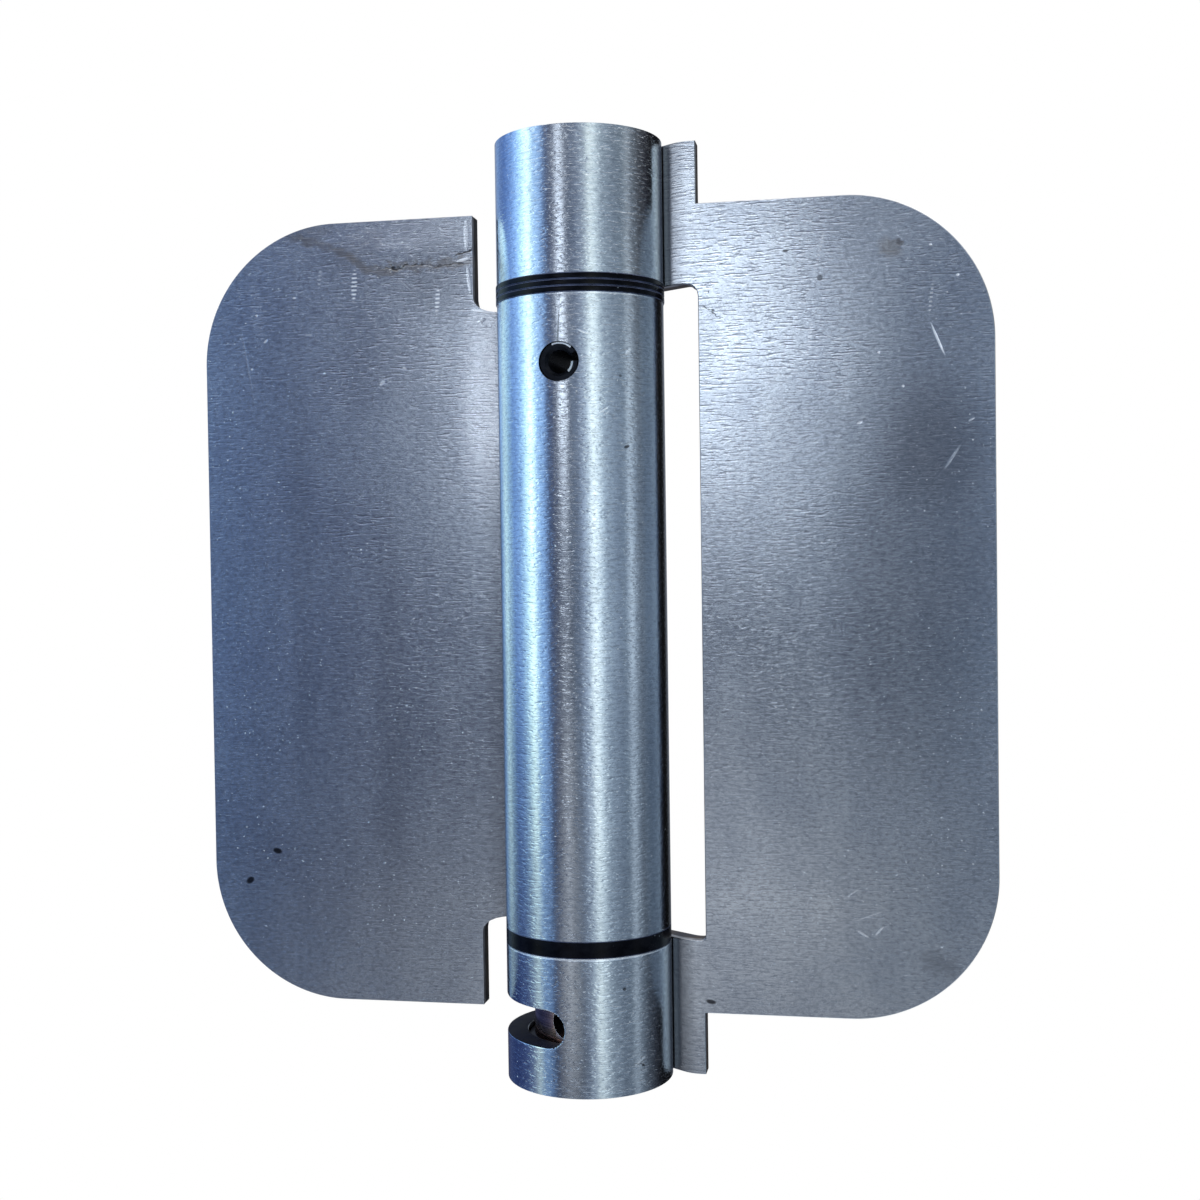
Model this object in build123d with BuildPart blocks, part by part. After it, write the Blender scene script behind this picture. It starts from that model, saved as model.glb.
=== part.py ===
from build123d import *
import os
from math import acos, asin, cos, degrees, pi, radians, sin

# A spring loaded door hinge, lying open and flat, in millimetres.
# The pin runs along Z through the origin. The frame leaf reaches towards +X and the door leaf
# towards -X. The faces that meet when the door is shut look towards -Y, and the faces that are
# fixed to the door and its frame look towards +Y.

# Leaves
leaf_height = 101.6
leaf_reach = 50.8
leaf_corner_radius = 18.0
sheet_thickness = 2.67
closed_gap = 1.6
entry_slope = 34.0
bend_inside_radius = 1.5
seam_gap = 0.5

# Barrel, from its upper end down
barrel_diameter = 20.95
upper_knuckle_length = 17.7
upper_washer_count = 3
upper_washer_thickness = 0.78
middle_knuckle_length = 78.05
lower_washer_thickness = 2.1
lower_knuckle_length = 17.0
upper_washer_overhang = 0.12
lower_washer_overhang = 0.0
rim_chamfer = 0.3

# Cut-outs beside the barrel
window_reach = 14.8
window_upper_radius = 1.6
window_lower_radius = 0.5
ear_reach = 14.65
notch_reach = 14.15
notch_corner_radius = 1.8

# Slot in the lower knuckle, through which the spring is wound
slot_height = 4.6
slot_drop = 8.85
slot_half_sweep = 83.0

# Spring pin that holds the anchor plug in the middle knuckle
pin_diameter = 4.76
pin_wall = 0.95
pin_drop = 8.2
pin_angle = 266.0
pin_slit_width = 1.25
pin_slit_angle = 15.0
pin_recess = 0.35
pin_chamfer = 0.25

# Pivot at the upper end
spindle_diameter = 8.0
spindle_entry = 4.6
bush_wall = 1.2
bush_length = 5.0

# Torsion spring
wire_width = 2.4
coil_mean_diameter = 11.2
coil_space = 0.4
coil_sides = 12
tang_reach = 3.4
tang_relief = 0.1

# Plugs at the ends of the spring
plug_end_gap = 0.5
anchor_plug_length = 15.0
spring_nose_diameter = 7.8
spring_nose_length = 3.6
journal_depth = 6.0
waist_diameter = 14.0
waist_margin = 0.6
tool_hole_diameter = 4.2
tool_hole_depth = 3.8
tool_hole_count = 4
tool_hole_angle = 259.5
cap_thickness = 1.5
plug_chamfer = 0.4
cap_chamfer = 0.5

# Clearances
running_clearance = 0.06
press_clearance = 0.02
end_clearance = 0.1
coil_clearance = 0.15

# Radii and levels that follow from the sizes above
outer_radius = barrel_diameter / 2
bore_radius = outer_radius - sheet_thickness
middle_radius = outer_radius - sheet_thickness / 2
pressed_radius = bore_radius - press_clearance
journal_radius = bore_radius - running_clearance
washer_stack = upper_washer_count * upper_washer_thickness
end_knuckles = upper_knuckle_length + lower_knuckle_length
barrel_length = end_knuckles + washer_stack + middle_knuckle_length + lower_washer_thickness
barrel_top = barrel_length / 2
barrel_bottom = -barrel_top
upper_knuckle_bottom = barrel_top - upper_knuckle_length
middle_knuckle_top = upper_knuckle_bottom - washer_stack
middle_knuckle_bottom = middle_knuckle_top - middle_knuckle_length
lower_knuckle_top = middle_knuckle_bottom - lower_washer_thickness
slot_level = lower_knuckle_top - slot_drop
pin_level = middle_knuckle_top - pin_drop

# Leaf section: the sheet is flat, bends back, runs straight to the barrel's back and rolls round
front_face = closed_gap / 2
mounting_face = front_face + sheet_thickness
bend_middle_radius = bend_inside_radius + sheet_thickness / 2
bend_outside_radius = bend_inside_radius + sheet_thickness
bend_centre_y = mounting_face + bend_inside_radius
roll_start = 90 - entry_slope
roll_end = roll_start - degrees(acos((bore_radius - seam_gap) / outer_radius))
roll_sweep = 360 + roll_end - roll_start
bend_lift = bend_centre_y * cos(radians(entry_slope))
bend_centre_x = (middle_radius + bend_middle_radius - bend_lift) / sin(radians(entry_slope))

# Anything cut or kept right across the barrel reaches this far from the pin
clear_reach = leaf_reach + outer_radius


def leaf_section(side):
    """Edges of the rolled sheet's section, with the leaf towards +X for 1 and -X for -1."""

    def spot(x, y):
        return (side * x, y)

    def polar(radius, angle):
        return spot(radius * cos(radians(angle)), radius * sin(radians(angle)))

    def arc(centre, radius, start, sweep):
        start_angle = start if side > 0 else 180 - start
        return CenterArc(spot(*centre), radius, start_angle, side * sweep)

    bend_centre = (bend_centre_x, bend_centre_y)
    back_bend = arc(bend_centre, bend_inside_radius, 270, -entry_slope)
    Line(spot(leaf_reach, mounting_face), back_bend @ 0)
    Line(back_bend @ 1, polar(outer_radius, roll_start))
    arc((0, 0), outer_radius, roll_start, roll_sweep)
    Line(polar(outer_radius, roll_end), polar(bore_radius, roll_end))
    arc((0, 0), bore_radius, roll_end, -roll_sweep)
    front_bend = arc(bend_centre, bend_outside_radius, 270 - entry_slope, entry_slope)
    Line(polar(bore_radius, roll_start), front_bend @ 0)
    Line(front_bend @ 1, spot(leaf_reach, front_face))
    Line(spot(leaf_reach, front_face), spot(leaf_reach, mounting_face))


def radial_plane(angle, level):
    """Plane through the pin's axis whose normal points outwards at an angle round it."""
    outwards = (cos(radians(angle)), sin(radians(angle)), 0)
    return Plane(origin=(0, 0, level), x_dir=(0, 0, 1), z_dir=outwards)


def break_rims(leaf, bottom, top):
    """Chamfer the outer rim of a leaf's knuckles at two levels."""
    rims = [
        edge
        for edge in leaf.edges().filter_by(GeomType.CIRCLE)
        if abs(edge.radius - outer_radius) < rim_chamfer
        and abs(edge.arc_center.X) < rim_chamfer
        and min(abs(edge.center().Z - bottom), abs(edge.center().Z - top)) < rim_chamfer
    ]
    chamfer(rims, rim_chamfer)


# Frame leaf: it carries the upper and lower knuckles and the winding slot
with BuildPart() as frame_leaf:
    with BuildSketch(Plane.XY.offset(barrel_bottom)) as frame_section:
        with BuildLine():
            leaf_section(1)
        make_face()
    extrude(amount=barrel_length)
    # Outline of the leaf and its two ears, seen from the front
    with BuildSketch(Plane.XZ.offset(-clear_reach)) as frame_outline:
        with BuildLine():
            Polyline(
                (-clear_reach, barrel_bottom),
                (ear_reach, barrel_bottom),
                (ear_reach, -leaf_height / 2),
                (leaf_reach, -leaf_height / 2),
                (leaf_reach, leaf_height / 2),
                (ear_reach, leaf_height / 2),
                (ear_reach, barrel_top),
                (-clear_reach, barrel_top),
                (-clear_reach, upper_knuckle_bottom),
                (window_reach, upper_knuckle_bottom),
                (window_reach, lower_knuckle_top),
                (-clear_reach, lower_knuckle_top),
                close=True,
            )
        make_face()
        columns = frame_outline.vertices().group_by(Axis.X)
        window_corners = columns[-2].sort_by(Axis.Y)
        fillet(columns[-1], leaf_corner_radius)
        fillet(window_corners[-1], window_upper_radius)
        fillet(window_corners[0], window_lower_radius)
    extrude(amount=2 * clear_reach, mode=Mode.INTERSECT)
    # The slot is a sector of the knuckle's wall with a round end at each side
    end_half_angle = degrees(asin(slot_height / 2 / outer_radius))
    straight_half_sweep = slot_half_sweep - end_half_angle
    with BuildSketch(Plane.XY.offset(slot_level - slot_height / 2)):
        with BuildLine():
            sector = CenterArc((0, 0), clear_reach, 180 - straight_half_sweep, 2 * straight_half_sweep)
            Line((0, 0), sector @ 0)
            Line((0, 0), sector @ 1)
        make_face()
    extrude(amount=slot_height, mode=Mode.SUBTRACT)
    for slot_end in (180 - straight_half_sweep, 180 + straight_half_sweep):
        with BuildSketch(radial_plane(slot_end, slot_level)):
            Circle(slot_height / 2)
        extrude(amount=clear_reach, mode=Mode.SUBTRACT)
    break_rims(frame_leaf, barrel_bottom, barrel_top)
frame_leaf.part.label = "frame_leaf"

# Door leaf: it carries the middle knuckle, with a hole right through for the spring pin
with BuildPart() as door_leaf:
    with BuildSketch(Plane.XY.offset(-leaf_height / 2)) as door_section:
        with BuildLine():
            leaf_section(-1)
        make_face()
    extrude(amount=leaf_height)
    with BuildSketch(Plane.XZ.offset(-clear_reach)) as door_outline:
        with BuildLine():
            Polyline(
                (-leaf_reach, -leaf_height / 2),
                (-notch_reach, -leaf_height / 2),
                (-notch_reach, middle_knuckle_bottom),
                (clear_reach, middle_knuckle_bottom),
                (clear_reach, middle_knuckle_top),
                (-notch_reach, middle_knuckle_top),
                (-notch_reach, leaf_height / 2),
                (-leaf_reach, leaf_height / 2),
                close=True,
            )
        make_face()
        columns = door_outline.vertices().group_by(Axis.X)
        fillet(columns[0], leaf_corner_radius)
        fillet(columns[1].sort_by(Axis.Y)[1:-1], notch_corner_radius)
    extrude(amount=2 * clear_reach, mode=Mode.INTERSECT)
    with BuildSketch(radial_plane(pin_angle, pin_level)):
        Circle(pin_diameter / 2 + press_clearance)
    extrude(amount=clear_reach, both=True, mode=Mode.SUBTRACT)
    break_rims(door_leaf, middle_knuckle_bottom, middle_knuckle_top)
door_leaf.part.label = "door_leaf"


def washer(label, bottom, thickness, rim_radius, hole_radius):
    """Flat ring that two knuckles bear on."""
    with BuildPart() as ring:
        with BuildSketch(Plane.XY.offset(bottom)):
            Circle(rim_radius)
            Circle(hole_radius, mode=Mode.SUBTRACT)
        extrude(amount=thickness)
    ring.part.label = label
    return ring


# Three thin washers on the spindle, between the upper and middle knuckles
spindle_radius = spindle_diameter / 2
upper_rim_radius = outer_radius + upper_washer_overhang
upper_hole_radius = spindle_radius + running_clearance
upper_washers = []
for place, name in enumerate(("top", "middle", "bottom")):
    level = upper_knuckle_bottom - (place + 1) * upper_washer_thickness
    label = f"upper_washer_{name}"
    ring = washer(label, level, upper_washer_thickness, upper_rim_radius, upper_hole_radius)
    upper_washers.append(ring)

# One thick washer round the tension plug, between the middle and lower knuckles
lower_rim_radius = outer_radius + lower_washer_overhang
lower_washer = washer("lower_washer", lower_knuckle_top, lower_washer_thickness, lower_rim_radius,
                      bore_radius)

# Top plug: pressed into the upper knuckle flush with its end, bored for the spindle
with BuildPart() as top_plug:
    with BuildSketch(Plane.XY.offset(upper_knuckle_bottom)):
        Circle(pressed_radius)
        Circle(spindle_radius + press_clearance, mode=Mode.SUBTRACT)
    extrude(amount=upper_knuckle_length)
    rims = top_plug.edges().filter_by(GeomType.CIRCLE).group_by(Axis.Z)
    chamfer(rims[-1].sort_by(SortBy.RADIUS)[-1], plug_chamfer)
top_plug.part.label = "top_plug"

# Spindle: the hardened pin in the top plug, on which the upper end of the door leaf turns
anchor_top = middle_knuckle_top - plug_end_gap
bush_bottom = anchor_top - bush_length
spindle_bottom = middle_knuckle_top - spindle_entry
with BuildPart() as spindle:
    with BuildSketch(Plane.XY.offset(spindle_bottom)):
        Circle(spindle_radius)
    extrude(amount=barrel_top - spindle_bottom)
    chamfer(spindle.edges().filter_by(GeomType.CIRCLE), plug_chamfer)
spindle.part.label = "spindle"

# Spindle bush: a plain bearing pressed into the anchor plug
bush_bore_radius = spindle_radius + running_clearance
bush_outer_radius = bush_bore_radius + bush_wall
with BuildPart() as spindle_bush:
    with BuildSketch(Plane.XY.offset(bush_bottom)):
        Circle(bush_outer_radius)
        Circle(bush_bore_radius, mode=Mode.SUBTRACT)
    extrude(amount=bush_length)
spindle_bush.part.label = "spindle_bush"

# Anchor plug: pinned in the middle knuckle, it holds the spindle bush and the spring's upper tang
anchor_bottom = anchor_top - anchor_plug_length
anchor_nose_bottom = anchor_bottom - spring_nose_length
nose_radius = spring_nose_diameter / 2
tang_slot_width = wire_width + coil_clearance
with BuildPart() as anchor_plug:
    with BuildSketch(Plane.XY.offset(anchor_bottom)):
        Circle(pressed_radius)
    extrude(amount=anchor_plug_length)
    with BuildSketch(Plane.XY.offset(anchor_nose_bottom)):
        Circle(nose_radius)
    extrude(amount=spring_nose_length)
    with BuildSketch(Plane.XY.offset(bush_bottom - press_clearance)):
        Circle(bush_outer_radius + press_clearance)
    extrude(amount=anchor_plug_length, mode=Mode.SUBTRACT)
    with BuildSketch(Plane.XY.offset(anchor_nose_bottom)):
        Rectangle(2 * bore_radius, tang_slot_width)
    extrude(amount=spring_nose_length, mode=Mode.SUBTRACT)
    with BuildSketch(radial_plane(pin_angle, pin_level)):
        Circle(pin_diameter / 2 + press_clearance)
    extrude(amount=clear_reach, both=True, mode=Mode.SUBTRACT)
anchor_plug.part.label = "anchor_plug"

# Spring pin: a rolled tube with a slit along it, driven through the knuckle and the anchor plug
pin_reach = outer_radius - pin_recess
pin_plane = radial_plane(pin_angle, pin_level)
with BuildPart() as roll_pin:
    with BuildSketch(pin_plane.offset(-pin_reach)):
        Circle(pin_diameter / 2)
        Circle(pin_diameter / 2 - pin_wall, mode=Mode.SUBTRACT)
    extrude(amount=2 * pin_reach)
    ends = roll_pin.edges().filter_by(GeomType.CIRCLE).sort_by(SortBy.RADIUS)[2:]
    chamfer(ends, pin_chamfer)
    with BuildSketch(pin_plane.offset(-pin_reach)):
        with PolarLocations(pin_diameter / 2, 1, start_angle=pin_slit_angle - 90):
            Rectangle(pin_diameter, pin_slit_width)
    extrude(amount=2 * pin_reach, mode=Mode.SUBTRACT)
roll_pin.part.label = "roll_pin"

# Tension plug: it turns in both lower knuckles and takes the tool in the holes round its waist
plug_bottom = barrel_bottom + cap_thickness + end_clearance
waist_bottom = slot_level - slot_height / 2 - waist_margin
waist_top = slot_level + slot_height / 2 + waist_margin
plug_top = middle_knuckle_bottom + journal_depth
plug_nose_top = plug_top + spring_nose_length
tool_hole_radius = tool_hole_diameter / 2
with BuildPart() as tension_plug:
    with BuildSketch(Plane.XY.offset(plug_bottom)):
        Circle(journal_radius)
    extrude(amount=plug_top - plug_bottom)
    with BuildSketch(Plane.XY.offset(waist_bottom)):
        Circle(journal_radius)
        Circle(waist_diameter / 2, mode=Mode.SUBTRACT)
    extrude(amount=waist_top - waist_bottom, mode=Mode.SUBTRACT)
    with BuildSketch(Plane.XY.offset(plug_top)):
        Circle(nose_radius)
    extrude(amount=spring_nose_length)
    with BuildSketch(Plane.XY.offset(plug_top)):
        Rectangle(2 * bore_radius, tang_slot_width)
    extrude(amount=spring_nose_length, mode=Mode.SUBTRACT)
    for hole in range(tool_hole_count):
        hole_angle = tool_hole_angle + hole * 360 / tool_hole_count
        with BuildSketch(radial_plane(hole_angle, slot_level).offset(waist_diameter / 2 - tool_hole_depth)):
            Circle(tool_hole_radius)
        extrude(amount=clear_reach, mode=Mode.SUBTRACT)
tension_plug.part.label = "tension_plug"

# Bottom cap: a button pressed into the lower knuckle below the tension plug
with BuildPart() as bottom_cap:
    with BuildSketch(Plane.XY.offset(barrel_bottom)):
        Circle(pressed_radius)
    extrude(amount=cap_thickness)
    rims = bottom_cap.edges().filter_by(GeomType.CIRCLE).group_by(Axis.Z)
    chamfer(rims[0], cap_chamfer)
bottom_cap.part.label = "bottom_cap"

# Torsion spring: square wire coiled left-handed between the two plugs, with a tang across each end
coil_radius = coil_mean_diameter / 2
tang_inset = wire_width / 2 + coil_clearance
coil_bottom = plug_top + tang_inset
coil_top = anchor_bottom - tang_inset
coil_count = int((coil_top - coil_bottom) / (wire_width + coil_space))
coil_steps = coil_count * coil_sides
coil_rise = (coil_top - coil_bottom) / coil_steps
tang_height = wire_width - 2 * tang_relief
half_wire = wire_width / 2
wire_corners = [(-half_wire, -half_wire), (half_wire, -half_wire),
                (half_wire, half_wire), (-half_wire, half_wire)]


def coil_corners(step):
    """Corners of the wire's upright section after a number of steps round the coil."""
    angle = -2 * pi * step / coil_sides
    level = coil_bottom + step * coil_rise
    return [
        Vector((coil_radius + across) * cos(angle), (coil_radius + across) * sin(angle), level + lift)
        for across, lift in wire_corners
    ]


def facet(*corners):
    """Flat face between corners."""
    return Face(Wire.make_polygon(corners))


# The coil is a closed shell of flat facets: its round faces are squares, and its upper and lower
# faces, which twist as they climb, are pairs of triangles
coil_facets = [facet(*coil_corners(0)), facet(*coil_corners(coil_steps))]
for step in range(coil_steps):
    low_in, low_out, high_out, high_in = coil_corners(step)
    next_low_in, next_low_out, next_high_out, next_high_in = coil_corners(step + 1)
    coil_facets += [
        facet(low_out, next_low_out, next_high_out, high_out),
        facet(low_in, high_in, next_high_in, next_low_in),
        facet(high_in, high_out, next_high_out),
        facet(high_in, next_high_out, next_high_in),
        facet(low_in, next_low_out, low_out),
        facet(low_in, next_low_in, next_low_out),
    ]

with BuildPart() as torsion_spring:
    add(Solid(Shell(coil_facets)))
    for tang_level in (coil_bottom, coil_top):
        with BuildSketch(Plane.XY.offset(tang_level - tang_height / 2)):
            with Locations((-tang_reach, 0)):
                Rectangle(tang_reach + coil_radius, wire_width, align=(Align.MIN, Align.CENTER))
        extrude(amount=tang_height)
torsion_spring.part.label = "torsion_spring"

pieces = [frame_leaf, door_leaf, *upper_washers, lower_washer, top_plug, spindle, spindle_bush]
pieces += [anchor_plug, roll_pin, tension_plug, bottom_cap, torsion_spring]
os.makedirs("parts", exist_ok=True)
for piece in pieces:
    export_step(piece.part, f"parts/{piece.part.label}.step")
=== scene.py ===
from math import acos, asin, atan2, cos, degrees, pi, radians, sin, sqrt, tan

import bmesh
import bpy
from mathutils import Matrix, Vector


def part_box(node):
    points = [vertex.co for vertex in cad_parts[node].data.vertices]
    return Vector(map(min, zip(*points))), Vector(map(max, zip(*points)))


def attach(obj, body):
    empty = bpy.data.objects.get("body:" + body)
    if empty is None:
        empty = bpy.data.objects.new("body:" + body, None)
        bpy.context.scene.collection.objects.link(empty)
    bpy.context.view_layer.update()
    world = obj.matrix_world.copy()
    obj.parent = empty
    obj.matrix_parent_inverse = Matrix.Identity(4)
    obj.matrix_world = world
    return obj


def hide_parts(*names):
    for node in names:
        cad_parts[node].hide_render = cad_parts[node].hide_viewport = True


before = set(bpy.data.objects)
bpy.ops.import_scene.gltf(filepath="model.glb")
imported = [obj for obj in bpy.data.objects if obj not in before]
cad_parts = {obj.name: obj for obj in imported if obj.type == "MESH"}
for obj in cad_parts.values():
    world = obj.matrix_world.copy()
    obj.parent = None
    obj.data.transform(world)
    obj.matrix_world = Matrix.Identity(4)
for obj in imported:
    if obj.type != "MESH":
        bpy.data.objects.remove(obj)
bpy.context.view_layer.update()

# Lengths in the settings are millimetres in the hinge's frame: the pin runs along Z through the
# origin, the frame leaf reaches towards +X and the faces in the picture look towards -Y.
mm = 0.001
scene = bpy.context.scene


# Nodes

class Nodes:
    # Short calls for building one material's or the world's node tree.
    def __init__(self, tree):
        self.tree = tree
        tree.nodes.clear()

    def add(self, kind, inputs=None, **settings):
        node = self.tree.nodes.new(kind)
        for key, value in settings.items():
            setattr(node, key, value)
        for key, value in (inputs or {}).items():
            self.feed(node.inputs[key], value)
        return node

    def feed(self, socket, value):
        if isinstance(value, bpy.types.NodeSocket):
            self.tree.links.new(value, socket)
        elif isinstance(value, (tuple, list)) and socket.type == "RGBA" and len(value) == 3:
            socket.default_value = (*value, 1)
        else:
            socket.default_value = value

    def math(self, operation, first, *others, clamp=False):
        # More than two values are taken in turn, from left to right.
        for other in others or (0.0,):
            node = self.add("ShaderNodeMath", {0: first, 1: other}, operation=operation,
                            use_clamp=clamp)
            first = node.outputs[0]
        return first

    def blend(self, factor, first, second, mode="MIX"):
        node = self.add("ShaderNodeMix", {0: factor, 6: first, 7: second}, data_type="RGBA",
                        blend_type=mode)
        return node.outputs[2]

    def span(self, value, low, high, toLow=0.0, toHigh=1.0, smooth=False):
        node = self.add("ShaderNodeMapRange", {"Value": value, "From Min": low, "From Max": high,
                                               "To Min": toLow, "To Max": toHigh})
        node.interpolation_type = "SMOOTHSTEP" if smooth else "LINEAR"
        return node.outputs[0]

    def place(self):
        return self.add("ShaderNodeTexCoord").outputs["Object"]

    def moved(self, vector, offset):
        return self.add("ShaderNodeVectorMath", {0: vector, 1: offset}).outputs[0]

    def noise(self, vector, scale, detail=3.0, roughness=0.55):
        scaled = self.add("ShaderNodeMapping", {"Vector": vector, "Scale": scale})
        node = self.add("ShaderNodeTexNoise", {"Vector": scaled.outputs[0], "Scale": 1.0,
                                               "Detail": detail, "Roughness": roughness})
        return node.outputs["Fac"]

    def spot(self, vector, centre, size, turn=0.0):
        # One at the centre of an ellipse, falling to nought at its rim.
        place = self.add("ShaderNodeMapping", {
            "Vector": vector, "Location": (*centre, 0), "Rotation": (0, 0, radians(turn)),
            "Scale": (*size, 1)}, vector_type="TEXTURE")
        flat = self.add("ShaderNodeVectorMath", {0: place.outputs[0], 1: (1, 1, 0)},
                        operation="MULTIPLY")
        return self.add("ShaderNodeTexGradient", {"Vector": flat.outputs[0]},
                        gradient_type="SPHERICAL").outputs["Fac"]

    def bump(self, height, strength, distance, **normal):
        return self.add("ShaderNodeBump", {"Height": height, "Strength": strength,
                                           "Distance": distance * mm, **normal}).outputs[0]

    def surface(self, shader):
        output = self.add("ShaderNodeOutputMaterial")
        self.tree.links.new(shader, output.inputs["Surface"])

    def principled(self, inputs):
        self.surface(self.add("ShaderNodeBsdfPrincipled", inputs).outputs[0])


def newMaterial(name):
    material = bpy.data.materials.new(name)
    material.use_nodes = True
    return material, Nodes(material.node_tree)


# Materials

leafSteelLook = {
    "bright": (0.64, 0.68, 0.72),
    "dull": (0.43, 0.47, 0.53),
    # Dark tint for the mottle, and for the painted shade on one side of each stroke
    "stroke": (0.10, 0.12, 0.16),
    "pore": (0.03, 0.03, 0.035),
    "shine": (0.95, 0.97, 1.0),
    "bendShade": (0.03, 0.03, 0.04),
    "mottleShare": 0.28,
    "strokeShadeShare": 0.72,
    "strokeHighlightShare": 0.65,
    "glintShare": 0.6,
    "poreShare": 0.7,
    "sparkShare": 0.7,
    "strokeRange": (0.55, 0.63),
    "strokeShift": 0.13,
    "roughness": 0.19,
    "grainSwing": 0.03,
    "cloudSwing": 0.04,
    "backRoughness": 0.20,
    "anisotropy": 0.55,
    "glareMetallic": 0.55,
    "tickRate": 12.0,
    "bumpStrength": 0.6,
    "bumpDistance": 0.02,
}
# Noises over the flat sheet: scale per millimetre along both axes, detail and roughness
sheetNoises = {
    "grain": ((0.55, 7.0, 1), 5, 0.7),
    "strokes": ((0.50, 4.2, 1), 2.5, 0.55),
    "glints": ((0.85, 5.2, 3), 2, 0.6),
    "sparks": ((2.4, 3.2, 7), 1.5, 0.55),
    "blotch": ((0.13, 0.05, 1), 3, 0.55),
    "cloud": ((0.05, 0.07, 1), 3, 0.55),
    "dimple": ((0.9, 2.6, 1), 2, 0.6),
    "mottle": ((1.5, 2.4, 1), 2.5, 0.65),
    "pores": ((3.1, 3.9, 1), 2, 0.7),
    "wander": ((0.8, 1.3, 1), 2, 0.55),
}
# Marks that colour the sheet: the colour, where the spot starts and is full, and if it is soft
markColours = {
    "oxide": ((0.30, 0.26, 0.21), 0, 0.7, True),
    # Dark colour for small smudges and for painted shade over large parts of a leaf.
    "smudge": ((0.16, 0.17, 0.20), 0, 0.8, True),
    # A lighter patch of colour: painted highlight.
    "polish": (leafSteelLook["shine"], 0, 0.8, True),
    "speck": (leafSteelLook["pore"], 0, 0.35, False),
    "crack": ((0.02, 0.017, 0.016), 0.1, 0.5, False),
}
# Marks with a wavy outline, and how deep marks of full strength go
wavyMarks = ("oxide", "crack", "smudge", "polish")
markDepths = {"crack": 3, "scratch": 1.2}


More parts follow.
